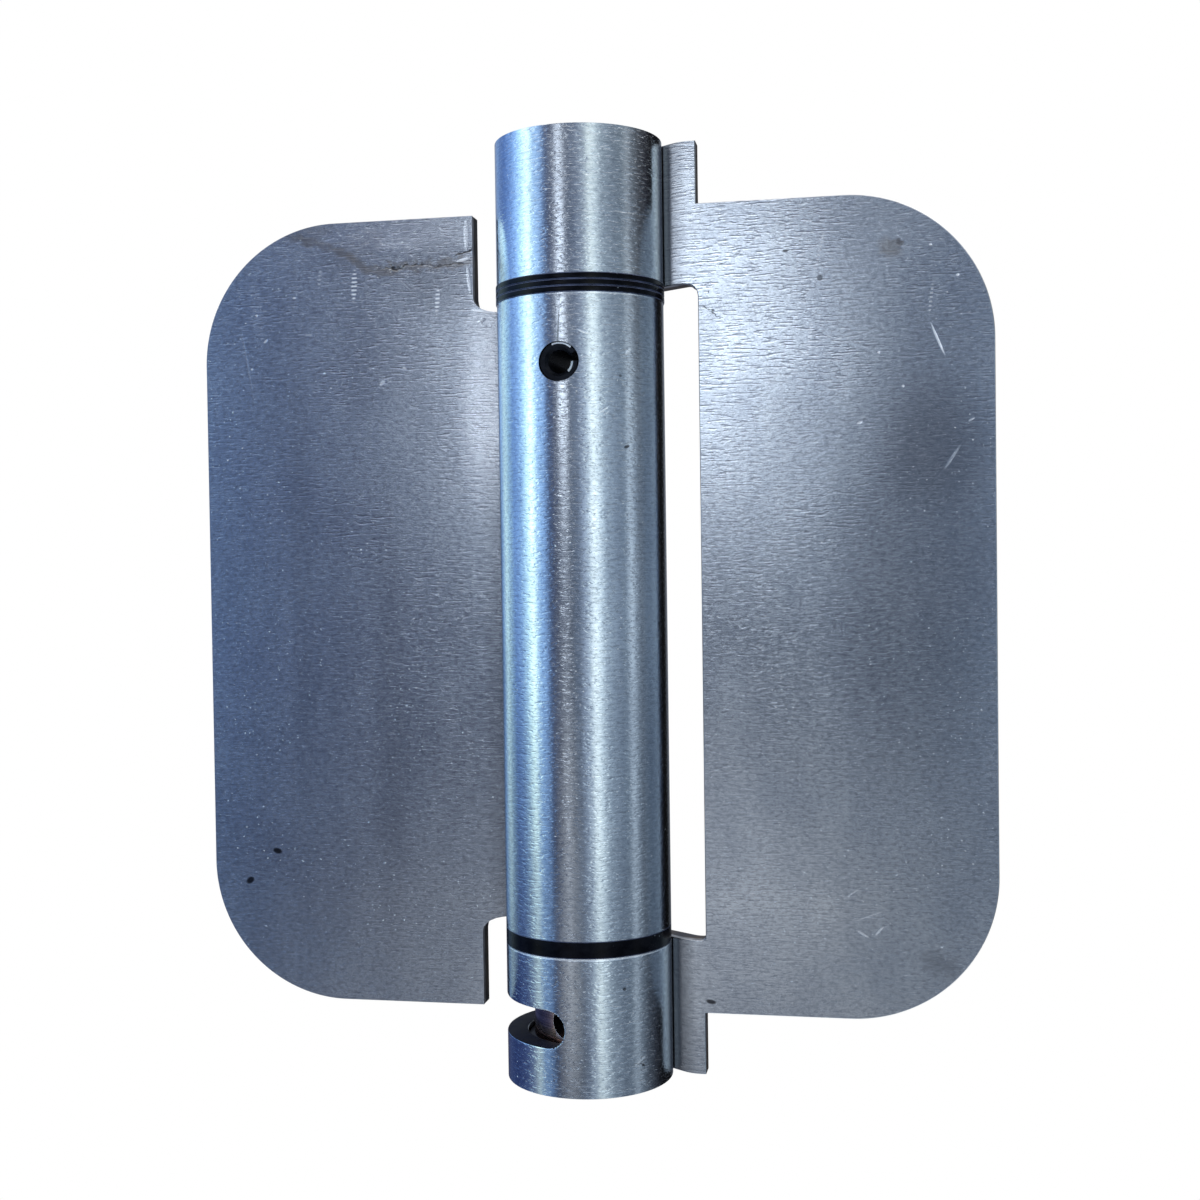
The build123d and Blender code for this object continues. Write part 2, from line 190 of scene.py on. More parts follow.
def brushedSteel(name, marks, lean, tilt, crevice):
    # Rolled sheet. Its UV map is the flat sheet in millimetres, with the grain along U. The flat
    # front is lit as if it leaned sideways and up by a few degrees, and has painted shade in the
    # bend.
    look = leafSteelLook
    material, nodes = newMaterial(name)
    sheet = nodes.add("ShaderNodeUVMap", uv_map="sheet").outputs[0]
    axes = nodes.add("ShaderNodeSeparateXYZ", {"Vector": sheet})
    across, level = axes.outputs["X"], axes.outputs["Y"]
    barrel = nodes.span(across, rollStation - 2, rollStation + 1)
    rolled = nodes.span(across, rollStation - 0.1, rollStation)
    unrolled = nodes.span(across, rollStation - 0.1, rollStation, 1, 0)
    depth = nodes.add("ShaderNodeAttribute", attribute_name="depth").outputs["Fac"]
    behind = nodes.math("MULTIPLY", nodes.span(depth, 0.49, 0.51, 1, 0), unrolled)
    inside = nodes.math("MULTIPLY", nodes.span(depth, 0.49, 0.51), rolled)
    noise = {key: nodes.noise(sheet, *values) for key, values in sheetNoises.items()}
    grain, cloud = noise["grain"], noise["cloud"]

    # A stroke is painted dark on one side and light on the other, painted shade and highlight as a
    # shallow groove is lit.
    shifted = nodes.moved(sheet, (0, look["strokeShift"], 0))
    stroke, strokeAbove = (nodes.span(strokes, *look["strokeRange"], smooth=True) for strokes in (
        noise["strokes"], nodes.noise(shifted, *sheetNoises["strokes"])))
    grooveShading = nodes.math("SUBTRACT", stroke, strokeAbove)
    clouded = nodes.span(cloud, 0.42, 0.56, 0.25, 1.0)
    plate = nodes.math("MULTIPLY", nodes.span(level, -10, 30, 0.25, 1.0, smooth=True), clouded,
                       nodes.span(across, 3, 16, 0.5, 1.0), nodes.span(barrel, 0, 1, 1, 0.2))
    strokeShade = nodes.math("MULTIPLY", nodes.span(grooveShading, 0.05, 0.6), look["strokeShadeShare"],
                            plate)
    strokeHighlight = nodes.math("MULTIPLY", nodes.span(grooveShading, -0.05, -0.6),
                             look["strokeHighlightShare"], plate)
    # Glints and sparks are painted highlights in the colour; the sparks also stand up in the bump.
    glint = nodes.math("MULTIPLY", nodes.span(noise["glints"], 0.65, 0.74, smooth=True),
                       look["glintShare"])
    spark = nodes.math("MULTIPLY", nodes.span(noise["sparks"], 0.71, 0.76), clouded)

    shade = nodes.math("ADD", nodes.math("MULTIPLY", grain, 0.45),
                       nodes.math("MULTIPLY", noise["blotch"], 0.35),
                       nodes.math("MULTIPLY", cloud, 0.2))
    colour = nodes.blend(nodes.span(shade, 0.38, 0.62), look["dull"], look["bright"])
    for share, tint in (
            (nodes.span(noise["mottle"], 0.46, 0.64, 0, look["mottleShare"]), "stroke"),
            (strokeShade, "stroke"), (strokeHighlight, "shine"), (glint, "shine"),
            (nodes.span(noise["pores"], 0.70, 0.76, 0, look["poreShare"]), "pore")):
        colour = nodes.blend(share, colour, look[tint])
    roughness = nodes.math(
        "ADD", nodes.span(grain, 0.3, 0.7, -look["grainSwing"], look["grainSwing"]),
        nodes.span(cloud, 0.3, 0.7, look["roughness"] + look["cloudSwing"],
                   look["roughness"] - look["cloudSwing"]),
        nodes.math("MULTIPLY", behind, look["backRoughness"]))

    height = nodes.math(
        "SUBTRACT", nodes.math("MULTIPLY", grain, nodes.span(barrel, 0, 1, 0.6, 0.3)),
        nodes.math("MULTIPLY", stroke, nodes.span(barrel, 0, 1, 0.35, 0.15)))
    height = nodes.math("ADD", height, nodes.math("MULTIPLY", noise["mottle"], 0.5))
    dents = nodes.math("MULTIPLY", nodes.span(noise["dimple"], 0.50, 0.68, smooth=True),
                       nodes.span(barrel, 0, 1, 0.25, 1.3))
    height = nodes.math("SUBTRACT", height, dents)
    height = nodes.math("ADD", height, nodes.math("MULTIPLY", spark, 2.0))
    height = nodes.math("SUBTRACT", height, nodes.span(noise["pores"], 0.66, 0.78, 0, 0.5))

    # The marks are on the outer side only: elsewhere the sheet is moved out of their reach.
    unseen = nodes.math("MULTIPLY", nodes.math("ADD", behind, inside), 500.0)
    outer = nodes.moved(sheet, nodes.add("ShaderNodeCombineXYZ", {"Y": unseen}).outputs[0])
    offset = nodes.add("ShaderNodeCombineXYZ", {
        "X": nodes.span(noise["wander"], 0.3, 0.7, -0.4, 0.4),
        "Y": nodes.span(noise["wander"], 0.3, 0.7, 0.45, -0.45)})
    wavy = nodes.moved(outer, offset.outputs[0])
    comb = nodes.span(nodes.math("SINE", nodes.math("MULTIPLY", level, look["tickRate"])),
                      -0.2, 0.5)
    glare = nodes.math("MULTIPLY", spark, look["sparkShare"])
    for kind, centre, size, turn, strength in marks:
        spot = nodes.spot(wavy if kind in wavyMarks else outer, centre, size, turn)
        if kind in markColours:
            tint, rim, full, soft = markColours[kind]
            colour = nodes.blend(nodes.span(spot, rim, full, 0, strength, soft), colour, tint)
        else:
            # Scratches and ticks are painted as glare, a painted highlight; scratches are also
            # dented below.
            shine = nodes.span(spot, 0, 0.4, 0, strength)
            if kind == "ticks":
                shine = nodes.math("MULTIPLY", comb, shine)
            glare = nodes.math("ADD", glare, shine)
        if kind in markDepths:
            dent = nodes.span(spot, 0, 0.6, 0, markDepths[kind] * strength)
            height = nodes.math("SUBTRACT", height, dent)
    glare = nodes.math("ADD", glare, 0.0, clamp=True)
    colour = nodes.blend(glare, colour, look["shine"])
    # Painted shade in the bend between the flat leaf and the barrel, growing towards the barrel.
    paintedBendShade = nodes.math(
        "MULTIPLY", nodes.span(across, bendStation + 0.3, rampStation + 0.6, 0, crevice),
        unrolled, nodes.span(depth, 0.8, 0.9))
    colour = nodes.blend(paintedBendShade, colour, look["bendShade"])

    leaning = nodes.add("ShaderNodeVectorTransform",
                        {0: (sin(radians(lean)), -cos(radians(lean)), sin(radians(tilt)))},
                        vector_type="NORMAL", convert_from="OBJECT", convert_to="WORLD")
    front = nodes.math("MULTIPLY", nodes.span(depth, 0.97, 0.99), unrolled)
    own = nodes.add("ShaderNodeNewGeometry").outputs["Normal"]
    facing = nodes.add("ShaderNodeMix", {0: front, 4: own, 5: leaning.outputs[0]},
                       data_type="VECTOR").outputs[1]
    tangent = nodes.add("ShaderNodeTangent", direction_type="UV_MAP", uv_map="sheet")
    nodes.principled({
        "Base Color": colour, "Metallic": nodes.span(glare, 0, 1, 1.0, look["glareMetallic"]),
        "Roughness": roughness, "Anisotropic": look["anisotropy"], "Anisotropic Rotation": 0.25,
        "Tangent": tangent.outputs[0],
        "Normal": nodes.bump(height, look["bumpStrength"], look["bumpDistance"], Normal=facing)})
    return material


def shearedSteel():
    # Cut edge of the sheet: a burnished band next to the front face, then torn metal with oxide.
    material, nodes = newMaterial("shearedEdge")
    place = nodes.place()
    depth = nodes.add("ShaderNodeAttribute", attribute_name="depth").outputs["Fac"]
    streak = nodes.noise(place, (900, 900, 260), detail=4)
    rust = nodes.noise(place, (240, 240, 160), detail=5, roughness=0.6)
    line = nodes.math("ADD", depth, nodes.span(rust, 0.3, 0.7, -0.12, 0.12))
    torn = nodes.span(line, 0.72, 0.60)
    burnished = nodes.blend(nodes.span(streak, 0.35, 0.65), (0.28, 0.28, 0.30), (0.52, 0.53, 0.55))
    broken = nodes.blend(nodes.span(rust, 0.40, 0.62), (0.05, 0.05, 0.06), (0.15, 0.11, 0.08))
    height = nodes.math("MULTIPLY", streak, nodes.span(torn, 0, 1, 0.4, 2.0))
    nodes.principled({
        "Base Color": nodes.blend(torn, burnished, broken), "Metallic": 0.9,
        "Roughness": nodes.span(torn, 0, 1, 0.28, 0.5), "Normal": nodes.bump(height, 0.5, 0.04)})
    return material


def turnedSteel(name, colour, dark, roughness, ringPitch=5200, metallic=1.0):
    # Machined round piece: rings round Z, with stains and small nicks.
    material, nodes = newMaterial(name)
    place = nodes.place()
    axes = nodes.add("ShaderNodeSeparateXYZ", {"Vector": place})
    radius = nodes.math("SQRT", nodes.math("ADD", nodes.math("POWER", axes.outputs["X"], 2.0),
                                           nodes.math("POWER", axes.outputs["Y"], 2.0)))
    ringPlace = nodes.add("ShaderNodeCombineXYZ", {"X": radius, "Z": axes.outputs["Z"]}).outputs[0]
    rings = nodes.noise(ringPlace, (ringPitch, 1, ringPitch), detail=3, roughness=0.6)
    cloud = nodes.noise(place, (190, 190, 150), detail=5, roughness=0.6)
    mix = nodes.math("ADD", nodes.math("MULTIPLY", rings, 0.4), nodes.math("MULTIPLY", cloud, 0.6))
    height = nodes.math("ADD", rings, nodes.math("MULTIPLY", cloud, 0.8))
    nodes.principled({
        "Base Color": nodes.blend(nodes.span(mix, 0.38, 0.62), dark, colour),
        "Metallic": metallic,
        "Roughness": nodes.span(cloud, 0.3, 0.7, roughness + 0.08, roughness - 0.08),
        "Normal": nodes.bump(height, 0.4, 0.03)})
    return material


def blackFinish(name, colour, roughness, metallic, speckle):
    # Black oxide or black plastic, with pale dust specks and rubbed patches. Near-black, it is also
    # the painted shade in the slot and deep in the plug's tool holes.
    material, nodes = newMaterial(name)
    place = nodes.place()
    rub = nodes.noise(place, (420, 420, 700), detail=5, roughness=0.62)
    dust = nodes.noise(place, (2300, 2300, 2300), detail=2)
    paler = tuple(2.2 * part + 0.003 for part in colour)
    tint = nodes.blend(nodes.span(rub, 0.40, 0.68), colour, paler)
    tint = nodes.blend(nodes.span(dust, 0.74, 0.80, 0, speckle), tint, (0.42, 0.47, 0.55))
    nodes.principled({
        "Base Color": tint, "Metallic": metallic, "Specular IOR Level": 0.08,
        "Roughness": nodes.span(rub, 0.3, 0.7, roughness - 0.08, roughness + 0.10),
        "Normal": nodes.bump(rub, 0.35, 0.04)})
    return material


# Meshes

smoothAngle = 38


def newObject(name, bm, *materials):
    mesh = bpy.data.meshes.new(name)
    bm.to_mesh(mesh)
    bm.free()
    for material in materials:
        mesh.materials.append(material)
    obj = bpy.data.objects.new(name, mesh)
    scene.collection.objects.link(obj)
    return obj


def meshObject(name, bm, materials, body, node):
    obj = newObject(name, bm, *materials)
    mesh = obj.data
    mesh.shade_smooth()
    mesh.set_sharp_from_angle(angle=radians(smoothAngle))
    # The larger faces keep their own normals, so that narrow bevels round only themselves.
    even = obj.modifiers.new("even", "WEIGHTED_NORMAL")
    even.keep_sharp = True
    evened = obj.evaluated_get(bpy.context.evaluated_depsgraph_get())
    obj.data = bpy.data.meshes.new_from_object(evened)
    obj.data.name = name
    obj.modifiers.clear()
    bpy.data.meshes.remove(mesh)
    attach(obj, body)
    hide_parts(node)
    return obj


def cutWith(bm, cutter):
    # Takes one closed mesh from another.
    target, tool = newObject("cutTarget", bm), newObject("cutTool", cutter)
    cut = target.modifiers.new("cut", "BOOLEAN")
    cut.operation = "DIFFERENCE"
    cut.solver = "EXACT"
    cut.object = tool
    evaluated = target.evaluated_get(bpy.context.evaluated_depsgraph_get())
    result = bmesh.new()
    result.from_mesh(evaluated.to_mesh())
    evaluated.to_mesh_clear()
    for obj in (target, tool):
        mesh = obj.data
        bpy.data.objects.remove(obj)
        bpy.data.meshes.remove(mesh)
    bmesh.ops.remove_doubles(result, verts=result.verts, dist=0.001 * mm)
    return result


def bevelSharp(bm, width, segments=2, angle=40, where=lambda edge: True, material=-1):
    edges = [edge for edge in bm.edges if len(edge.link_faces) == 2
             and edge.calc_face_angle() > radians(angle) and where(edge)]
    bmesh.ops.bevel(bm, geom=edges, offset=width, segments=segments, profile=0.5,
                    affect="EDGES", clamp_overlap=True, material=material)


def lathe(profile, segments=96, closed=False):
    # Turns points (radius, level) in metres round Z. An open profile starts and ends on the axis.
    bm = bmesh.new()
    verts = [bm.verts.new((radius, 0, level)) for radius, level in profile]
    pairs = zip(verts, verts[1:] + verts[:1]) if closed else zip(verts, verts[1:])
    edges = [bm.edges.new(pair) for pair in pairs]
    bmesh.ops.spin(bm, geom=verts + edges, cent=(0, 0, 0), axis=(0, 0, 1), angle=2 * pi,
                   steps=segments, use_merge=False, use_duplicate=False)
    bmesh.ops.remove_doubles(bm, verts=bm.verts, dist=0.0005 * mm)
    bmesh.ops.recalc_face_normals(bm, faces=bm.faces)
    return bm


def ring(inner, outer, bottom, top):
    return lathe([(inner, bottom), (outer, bottom), (outer, top), (inner, top)], closed=True)


def radialMatrix(angle, level):
    # Local Z points outwards at an angle round the pin, and local X points up.
    outwards = Vector((cos(radians(angle)), sin(radians(angle)), 0))
    up = Vector((0, 0, 1))
    turn = Matrix((up, outwards.cross(up), outwards)).transposed().to_4x4()
    return Matrix.Translation((0, 0, level)) @ turn


# Leaves: each is a flat blank, rolled up

leafSizes = {
    "thickness": 2.67,
    "frontFace": 0.8,
    "cornerRadius": 18.0,
    "entrySlope": 34.0,
    "bendInsideRadius": 1.5,
    "seamGap": 0.5,
    "outerRadius": 10.475,
    "windowReach": 14.8,
    "windowUpperRadius": 1.6,
    "windowLowerRadius": 0.5,
    "earReach": 14.65,
    "notchReach": 14.15,
    "notchRadius": 1.8,
    "faceBevel": 0.26,
    "burrBevel": 0.07,
    "knuckleBevel": 0.30,
    "openingBevel": 0.18,
    "rollStep": 3.0,
    "bendSteps": 10,
    "slotHeight": 4.6,
    "slotDrop": 8.85,
    "slotHalfSweep": 83.0,
    "pinRadius": 2.40,
    "pinDrop": 8.2,
    "pinAngle": 266.0,
}
outerRadius = leafSizes["outerRadius"]
boreRadius = outerRadius - leafSizes["thickness"]
middleRadius = outerRadius - leafSizes["thickness"] / 2
mountingFace = leafSizes["frontFace"] + leafSizes["thickness"]
leafLow, leafHigh = (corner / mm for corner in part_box("frame_leaf"))
leafReach = leafHigh.x
barrelTop, barrelBottom = leafHigh.z, leafLow.z
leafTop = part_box("door_leaf")[1].z / mm
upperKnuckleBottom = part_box("upper_washer_top")[1].z / mm
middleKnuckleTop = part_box("upper_washer_bottom")[0].z / mm
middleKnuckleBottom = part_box("lower_washer")[1].z / mm
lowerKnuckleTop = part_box("lower_washer")[0].z / mm
slotLevel = lowerKnuckleTop - leafSizes["slotDrop"]
pinLevel = middleKnuckleTop - leafSizes["pinDrop"]

slope = radians(leafSizes["entrySlope"])
bendMiddleRadius = leafSizes["bendInsideRadius"] + leafSizes["thickness"] / 2
bendCentreY = mountingFace + leafSizes["bendInsideRadius"]
bendCentreX = (middleRadius + bendMiddleRadius - bendCentreY * cos(slope)) / sin(slope)
rollStart = 90 - leafSizes["entrySlope"]
rollEnd = rollStart + 360 - degrees(acos((boreRadius - leafSizes["seamGap"]) / outerRadius))

# Stations along the middle of the sheet, from the leaf's outer edge to the end of the roll
bendStation = leafReach - bendCentreX
rampStation = bendStation + slope * bendMiddleRadius
rampEndX = bendCentreX - bendMiddleRadius * sin(slope)
rampEndY = bendCentreY - bendMiddleRadius * cos(slope)
rampLength = sqrt((rampEndX - middleRadius * sin(slope)) ** 2
                  + (rampEndY - middleRadius * cos(slope)) ** 2)
rollStation = rampStation + rampLength
endStation = rollStation + radians(rollEnd - rollStart) * middleRadius


def rolledPoint(station, level, depth, side):
    # Where a point of the flat blank lies once rolled. Depth is taken from the mounting face,
    # which becomes the outside of the barrel.
    if station <= bendStation:
        x, y = leafReach - station, mountingFace - depth
    elif station <= rampStation:
        turn = (station - bendStation) / bendMiddleRadius
        radius = leafSizes["bendInsideRadius"] + depth
        x, y = bendCentreX - radius * sin(turn), bendCentreY - radius * cos(turn)
    elif station <= rollStation:
        radius = leafSizes["bendInsideRadius"] + depth
        along = station - rampStation
        x = bendCentreX - radius * sin(slope) - along * cos(slope)
        y = bendCentreY - radius * cos(slope) + along * sin(slope)
    else:
        angle = radians(rollStart) + (station - rollStation) / middleRadius
        x, y = (outerRadius - depth) * cos(angle), (outerRadius - depth) * sin(angle)
    return Vector((side * x, y, level)) * mm


def angleStation(angle):
    return rollStation + radians(angle - rollStart) * middleRadius


def roundedOutline(corners):
    # Points of a closed outline from corners (station, level, radius).
    points = []
    for index, (x, y, radius) in enumerate(corners):
        corner = Vector((x, y))
        if not radius:
            points.append(corner)
            continue
        before = (Vector(corners[index - 1][:2]) - corner).normalized()
        after = (Vector(corners[(index + 1) % len(corners)][:2]) - corner).normalized()
        half = before.angle(after) / 2
        reach = radius / tan(half)
        centre = corner + (before + after).normalized() * (radius / sin(half))
        first, last = corner + before * reach - centre, corner + after * reach - centre
        steps = max(4, int(radius * 3))
        sweep = first.angle_signed(last)
        for step in range(steps + 1):
            turned = first.copy()
            turned.rotate(Matrix.Rotation(-sweep * step / steps, 2))
            points.append(centre + turned)
    return points


def trueRound(mesh):
    # Gives the barrel's outside the normals of a true cylinder.
    normals = [corner.vector.copy() for corner in mesh.corner_normals]
    for face in mesh.polygons:
        spots = [mesh.vertices[index].co for index in face.vertices]
        outwards = Vector((face.center.x, face.center.y, 0)).normalized()
        if (face.normal.dot(outwards) > 0.999
                and all(abs(spot.xy.length - outerRadius * mm) < 0.01 * mm for spot in spots)):
            for corner, spot in zip(face.loop_indices, spots):
                normals[corner] = Vector((spot.x, spot.y, 0)).normalized()
    mesh.normals_split_custom_set(normals)


def blank(corners):
    # Flat slab with stations along X, levels along Y and depth along Z.
    bm = bmesh.new()
    face = bm.faces.new([bm.verts.new((*point, 0)) for point in roundedOutline(corners)])
    pushed = bmesh.ops.extrude_face_region(bm, geom=[face])
    verts = [item for item in pushed["geom"] if isinstance(item, bmesh.types.BMVert)]
    bmesh.ops.translate(bm, verts=verts, vec=(0, 0, leafSizes["thickness"]))
    bmesh.ops.recalc_face_normals(bm, faces=bm.faces)
    return bm


def holeCutter(angles, level, radius):
    # Tool for a round or long hole that is bored straight through the rolled wall.
    bm = bmesh.new()
    for wallRadius, depth in ((outerRadius + 1, -1), (boreRadius - 1, leafSizes["thickness"] + 1)):
        verts = []
        for end, angle in enumerate(angles):
            outwards = 1 if end else -1
            for turn in map(radians, range(90, -91, -10)):
                across = radius * cos(turn) * outwards
                station = angleStation(angle + degrees(asin(across / wallRadius)))
                verts.append(bm.verts.new((station, level + outwards * radius * sin(turn), depth)))
        for pair in zip(verts, verts[1:] + verts[:1]):
            if (pair[0].co - pair[1].co).length > 1e-6:
                bm.edges.new(pair)
    bmesh.ops.remove_doubles(bm, verts=bm.verts, dist=1e-5)
    bmesh.ops.bridge_loops(bm, edges=bm.edges[:])
    bmesh.ops.holes_fill(bm, edges=bm.edges, sides=0)
    bmesh.ops.recalc_face_normals(bm, faces=bm.faces)
    return bm


def rollUp(bm, side):
    # Rounds the blank's edges, slices it across and rolls it. The punch rounds the front face's
    # edges most, and the knuckles' outer rims are broken.
    thickness = leafSizes["thickness"]

    def onFront(edge):
        return min(vert.co.z for vert in edge.verts) > thickness - 0.01

    def onBarrel(edge):
        return (max(vert.co.z for vert in edge.verts) < 0.01
                and max(vert.co.x for vert in edge.verts) > rollStation)

    def onKnuckle(edge):
        return onBarrel(edge) and abs(edge.verts[0].co.y - edge.verts[1].co.y) < 1e-5

    def onOpening(edge):
        reaches = ((slotLevel, leafSizes["slotHeight"] / 2), (pinLevel, leafSizes["pinRadius"]))
        return onBarrel(edge) and any(
            all(abs(vert.co.y - level) < reach + 0.01 for vert in edge.verts)
            for level, reach in reaches)

    bevelSharp(bm, leafSizes["openingBevel"], 2, where=onOpening)
    bevelSharp(bm, leafSizes["knuckleBevel"], 3, where=onKnuckle)
    bevelSharp(bm, leafSizes["faceBevel"], 3, angle=60, where=onFront)
    bevelSharp(bm, leafSizes["burrBevel"], 2, angle=60)
    stations = [bendStation, rampStation, rollStation]
    bendSteps = leafSizes["bendSteps"]
    stations += [bendStation + (rampStation - bendStation) * step / bendSteps
                 for step in range(1, bendSteps)]
    angle = rollStart + leafSizes["rollStep"]
    while angle < rollEnd:
        stations.append(angleStation(angle))
        angle += leafSizes["rollStep"]
    for station in stations:
        geometry = bm.verts[:] + bm.edges[:] + bm.faces[:]
        bmesh.ops.bisect_plane(bm, geom=geometry, dist=1e-4, plane_co=(station, 0, 0),
                               plane_no=(1, 0, 0))
    sheetMap = bm.loops.layers.uv.new("sheet")
    depthLayer = bm.verts.layers.float.new("depth")
    bm.normal_update()
    for face in bm.faces:
        face.material_index = 1 if abs(face.normal.z) < 0.5 else 0
        middle = face.calc_center_median()
        # Cut faces in the slot take the third material, which is painted shade.
        if (face.material_index and middle.x > rollStation
                and abs(middle.y - slotLevel) < leafSizes["slotHeight"] / 2 + 0.1):
            face.material_index = 2
        for loop in face.loops:
            loop[sheetMap].uv = loop.vert.co.xy
    for vert in bm.verts:
        vert[depthLayer] = vert.co.z / thickness
        vert.co = rolledPoint(vert.co.x, vert.co.y, vert.co.z, side)
    bmesh.ops.recalc_face_normals(bm, faces=bm.faces)
    return bm


# Marks on the sheets: kind, centre, half sizes, turn and strength, on the blank in millimetres

def spotMarks(kind, *spots, barrel=False):
    # From x, z, half width, half height, strength and turn on a leaf. On the barrel the first is
    # the angle round the pin.
    return [(kind, (angleStation(x) if barrel else leafReach - abs(x), z), (width, height),
             turn[0] if turn else 0, strength) for x, z, width, height, strength, *turn in spots]


def lineMarks(kind, *runs):
    # From half width, strength and points (x, z) on a leaf. Each mark runs on into the next.
    overlap = 0.62
    marks = []
    for width, strength, *points in runs:
        points = [Vector((leafReach - abs(x), z)) for x, z in points]
        for start, end in zip(points, points[1:]):
            along = end - start
            marks.append((kind, (start + end) / 2, (along.length * overlap + width, width),
                          degrees(atan2(along.y, along.x)), strength))
    return marks


doorMarks = [
    *lineMarks("oxide", (1.0, 0.5, (-14.2, 45.0), (-19.8, 44.7), (-26.0, 44.8)),
        (0.85, 0.5, (-24.1, 43.8), (-28.4, 44.6), (-30.5, 46.3), (-32.9, 47.6), (-38.8, 49.4))),
    # Painted highlight along the leaf's top.
    *spotMarks("polish", (-25.0, 49.0, 15.0, 3.2, 0.30)),
    *spotMarks("oxide", (-29.5, 47.4, 5.5, 2.6, 0.12, 30), (-36.0, 49.6, 5.0, 1.4, 0.25, 10)),
    *lineMarks("crack", (0.26, 0.95, (-14.1, 46.5), (-16.3, 45.8)),
        (0.20, 0.9, (-15.0, 44.8), (-19.8, 44.7)),
        (0.20, 0.85, (-20.5, 44.9), (-22.7, 45.1), (-24.1, 44.5), (-26.0, 44.7))),
    # A small dimple below the notch's top corner: dented, and darkened as painted shade.
    *spotMarks("crack", (-13.3, 37.3, 0.45, 0.55, 0.25, 30)),
    # Painted highlight in a strip beside the barrel.
    *spotMarks("polish", (-13.0, 27.0, 4.5, 17.0, 0.55)),
    *spotMarks("speck", (-42.1, -31.4, 0.75, 0.42, 0.95, -15),
        (-46.0, -35.4, 0.72, 0.48, 0.95, 35)),
    # Of these smudges, the two long ones that run down most of the leaf are painted shade.
    *spotMarks("smudge", (-18.5, 43.0, 8.0, 7.0, 0.34), (-38.0, 2.0, 2.5, 46.0, 0.15),
        (-26.0, -12.0, 3.5, 40.0, 0.15)),
    *spotMarks("speck", (227.8, 20.1, 0.44, 0.22, 0.85, -22), (232.0, 28.6, 0.2, 0.2, 0.6),
        barrel=True),
    *lineMarks("scratch", (0.22, 0.8, (-14.6, 45.4), (-16.0, 45.1)),
        # The two runs on the next line, down the notch edge, are painted highlights of its rounded
        # edge; the first run after them is a burr at the notch's top corner with a painted
        # highlight.
        (0.40, 0.55, (-14.9, 49.8), (-14.9, 47.0)), (0.30, 0.55, (-14.8, 44.0), (-14.5, 41.2)),
        (0.30, 1.0, (-13.9, 38.7), (-11.4, 38.3)), (0.14, 0.18, (-45.9, 38.1), (-44.2, 28.3)),
        (0.14, 0.22, (-24.0, 43.3), (-22.1, 41.4))),
    *lineMarks("ticks", (0.50, 1.0, (-30.0, 44.3), (-30.2, 40.9)),
        (0.40, 1.0, (-18.8, 41.5), (-19.0, 38.9)), (0.35, 0.5, (-34.7, 44.8), (-34.9, 42.6)),
        (1.0, 0.22, (-43.9, 42.5), (-43.0, 36.5)), (0.9, 0.35, (-26.0, 47.8), (-21.8, 47.6))),
    *spotMarks("scratch", (-38.3, 41.4, 0.28, 0.18, 0.8), (-26.4, 29.9, 0.60, 0.30, 0.6, 40),
        (-23.4, 31.7, 0.40, 0.22, 0.6, -30), (-42.4, 35.9, 0.40, 0.18, 0.6, 40),
        (-36.4, 36.5, 0.70, 0.16, 0.5), (-43.6, 39.3, 0.22, 0.18, 0.7),
        (-44.4, 32.3, 0.22, 0.18, 0.6)),
    # The first is a painted highlight along the middle knuckle's top rim, not a scratch.
    *spotMarks("scratch", (245.0, 38.44, 7.0, 0.13, 0.6), (257.2, 33.8, 0.80, 0.15, 0.9, 24),
        (244.0, 24.5, 0.85, 0.12, 0.6, -36), (242.5, 24.1, 0.60, 0.10, 0.5, -36),
        (226.0, 31.5, 0.25, 0.6, 0.5, 40), barrel=True),
]
frameMarks = [
    *spotMarks("speck", (29.9, 40.8, 0.42, 0.42, 0.65), (25.7, 44.3, 0.42, 0.2, 0.8),
        (15.4, -49.3, 0.75, 0.32, 0.9, 10)),
    *spotMarks("oxide", (38.5, 44.0, 2.2, 1.6, 0.42, 30), (39.6, 44.7, 0.8, 0.5, 0.60)),
    # Of these smudges, the two large ones on the next line are painted shade.
    *spotMarks("smudge", (39.6, 44.8, 0.7, 0.4, 0.60), (43.5, -43.5, 4.0, 2.0, 0.35, 20),
        (41.5, 8.0, 14.0, 40.0, 0.36), (43.5, 20.0, 9.0, 11.0, 0.42)),
    *lineMarks("crack", (0.16, 0.7, (15.4, 38.0), (17.0, 36.6))),
    *spotMarks("crack", (317.5, -54.9, 1.1, 0.15, 0.8, 35), barrel=True),
    *spotMarks("speck", (305.0, -45.5, 0.25, 0.25, 0.8), barrel=True),
    *lineMarks("scratch", (0.22, 0.4, (44.8, 17.2), (46.4, 19.6)),
        (0.17, 0.85, (43.3, 34.4), (44.7, 31.0)), (0.20, 0.6, (33.7, -39.8), (34.9, -40.5)),
        (0.20, 0.6, (35.9, -40.2), (36.7, -39.3)), (0.16, 0.45, (32.4, -35.6), (33.7, -34.7)),
        (0.14, 0.4, (33.6, -38.5), (36.9, -37.2))),
    *spotMarks("scratch", (47.9, 22.9, 0.55, 0.15, 0.6, -30), (34.5, 22.9, 0.50, 0.20, 0.6, -20),
        (31.8, 33.2, 0.80, 0.14, 0.5, -15), (30.9, 33.6, 0.50, 0.12, 0.5, 25),
        (46.4, 40.4, 0.22, 0.20, 0.8), (43.2, 44.2, 0.22, 0.18, 0.8),
        (36.9, 31.4, 0.22, 0.18, 0.7), (39.8, 27.2, 0.22, 0.20, 0.7)),
    *lineMarks("ticks", (0.30, 0.5, (28.8, 35.2), (28.5, 32.4)),
        (0.22, 0.55, (30.6, 46.8), (29.3, 41.6)), (0.25, 0.6, (43.5, 39.7), (43.0, 35.8))),
    # The first is a painted highlight along the lower knuckle's top rim, not a scratch.
    *spotMarks("scratch", (275.0, -41.72, 14.0, 0.15, 0.8), (313.0, 48.2, 2.4, 0.10, 0.4),
        (316.3, -54.6, 1.1, 0.16, 0.45, 35), barrel=True),
]


